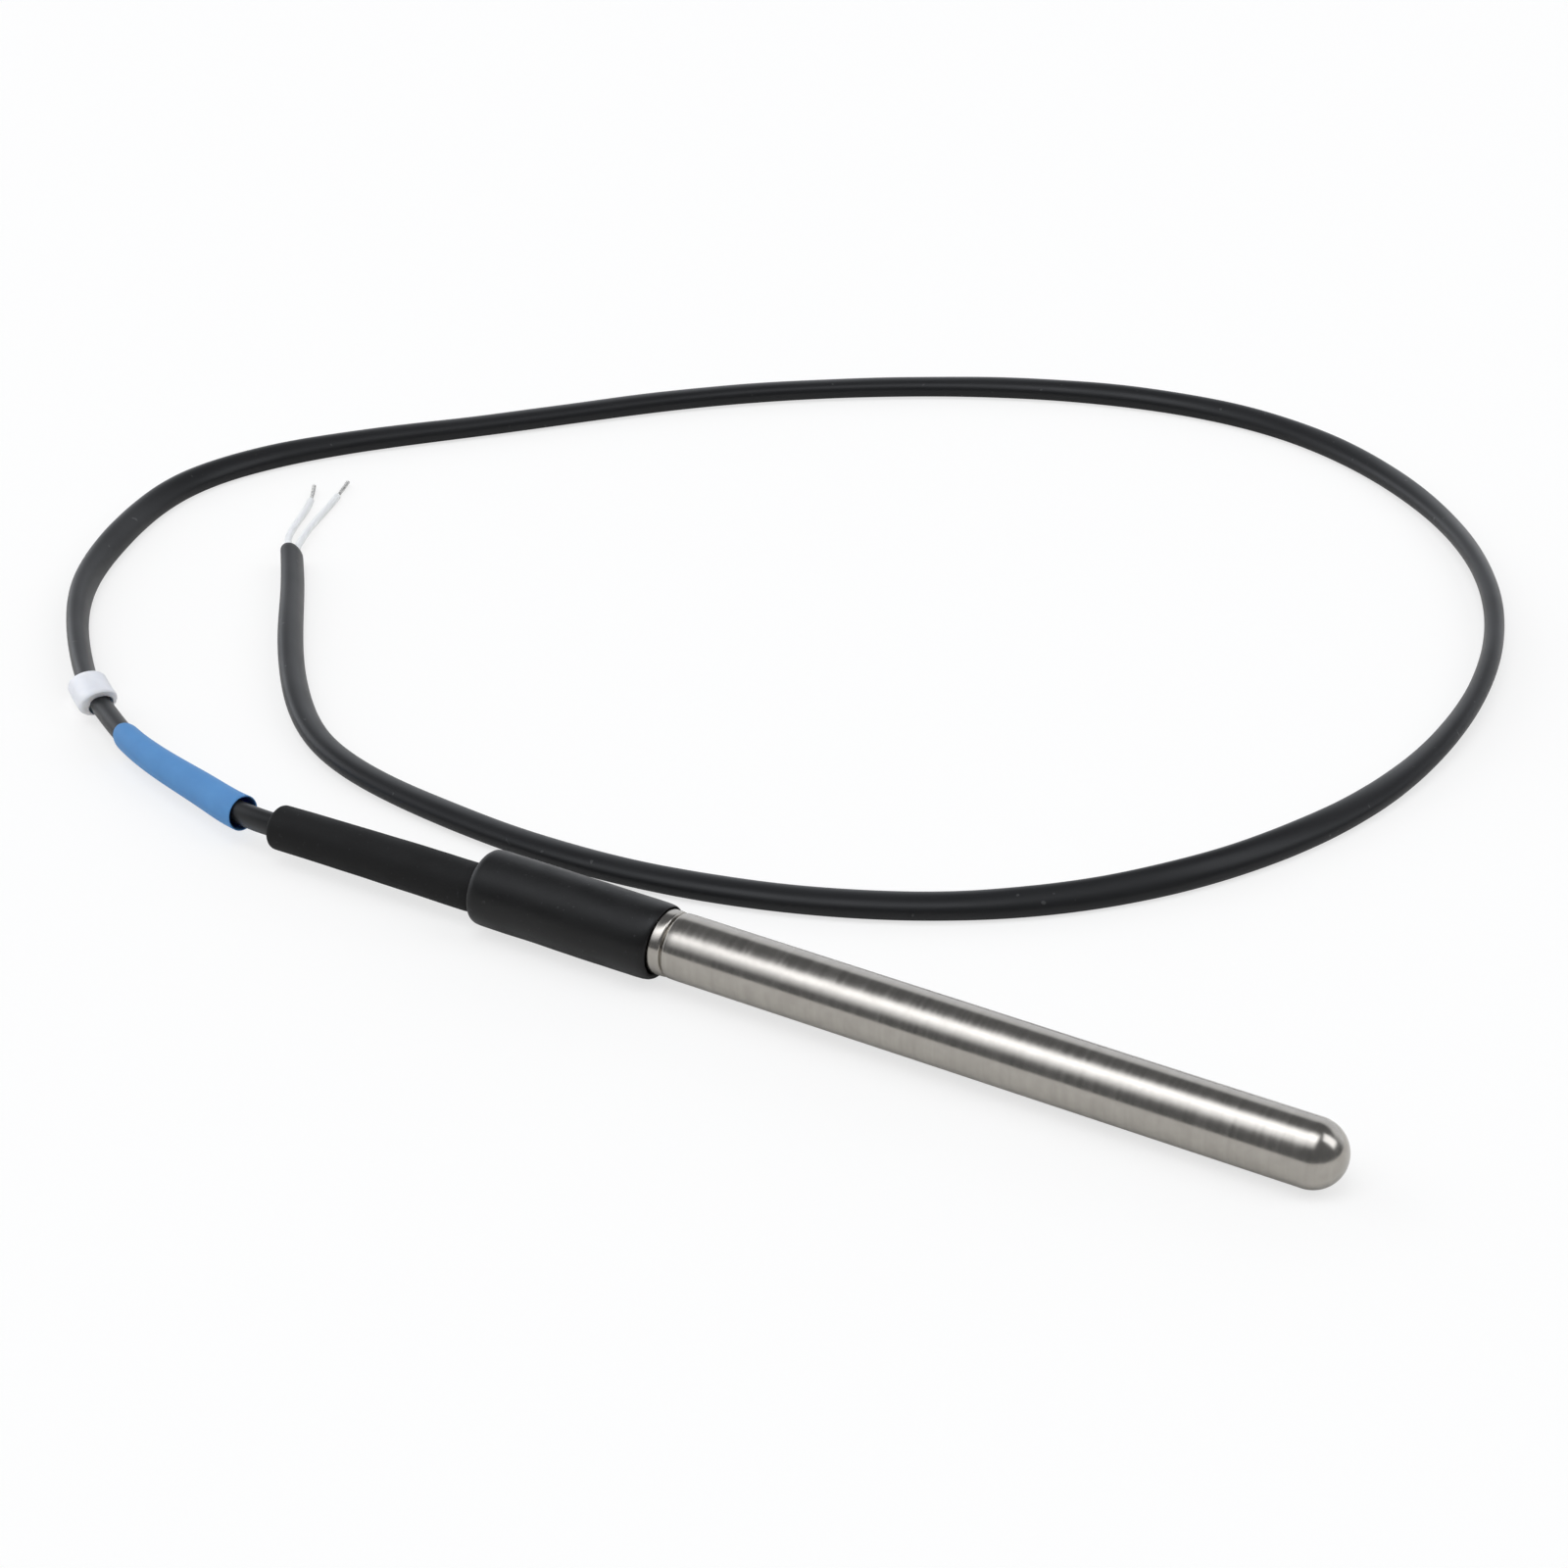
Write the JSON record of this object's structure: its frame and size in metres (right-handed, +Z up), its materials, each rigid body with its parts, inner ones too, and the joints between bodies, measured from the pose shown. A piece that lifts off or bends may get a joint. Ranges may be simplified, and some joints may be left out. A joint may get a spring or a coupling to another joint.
{
  "type": "temperature sensor",
  "caption": "Slim steel probe with a domed tip, black shrink sleeves at its rear and a thin black lead that makes one loop to two bare white cores.",
  "frame": {"origin": "on the surface, under the middle of the probe with its two sleeves", "axes": "+X along the probe towards its domed tip, which lies on the surface; +Y towards the side on which the lead loops; +Z up"},
  "size_m": [0.1663, 0.1426, 0.0073],
  "materials": {
    "stainless_steel": "turned stainless steel",
    "black_shrink": "matt shrink tubing",
    "black_jacket": "satin black jacket",
    "blue_sleeve": "soft matt tubing",
    "milky_ring": "milky moulded plastic",
    "white_core": "smooth core insulation",
    "tinned_copper": "twisted tinned strands",
    "joint_tubing": "thin pale tubing",
    "solder": "bright solder",
    "nickel_wire": "drawn nickel wire",
    "white_ceramic": "fired ceramic",
    "bead_glass": "fused glass glaze",
    "heat_paste": "dried heat paste",
    "amber_film": "amber film tube",
    "black_resin": "cast resin"
  },
  "bodies": {
    "root": {"sheath": "stainless_steel", "seal_sleeve": "black_shrink", "strain_sleeve": "black_shrink", "lead_jacket": "black_jacket", "marker_sleeve": "blue_sleeve", "marker_ring": "milky_ring", "core_end_1": "white_core", "core_end_2": "white_core", "strand_end_1": "tinned_copper", "strand_end_2": "tinned_copper", "inner_core_1": "white_core", "inner_core_2": "white_core", "joint_tube_1": "joint_tubing", "joint_tube_2": "joint_tubing", "solder_joint_1": "solder", "solder_joint_2": "solder", "element_lead_1": "nickel_wire", "element_lead_2": "nickel_wire", "sensing_chip": "white_ceramic", "glass_bead": "bead_glass", "heat_paste": "heat_paste", "liner_tube": "amber_film", "potting_plug": "black_resin"}
  },
  "joints": []
}
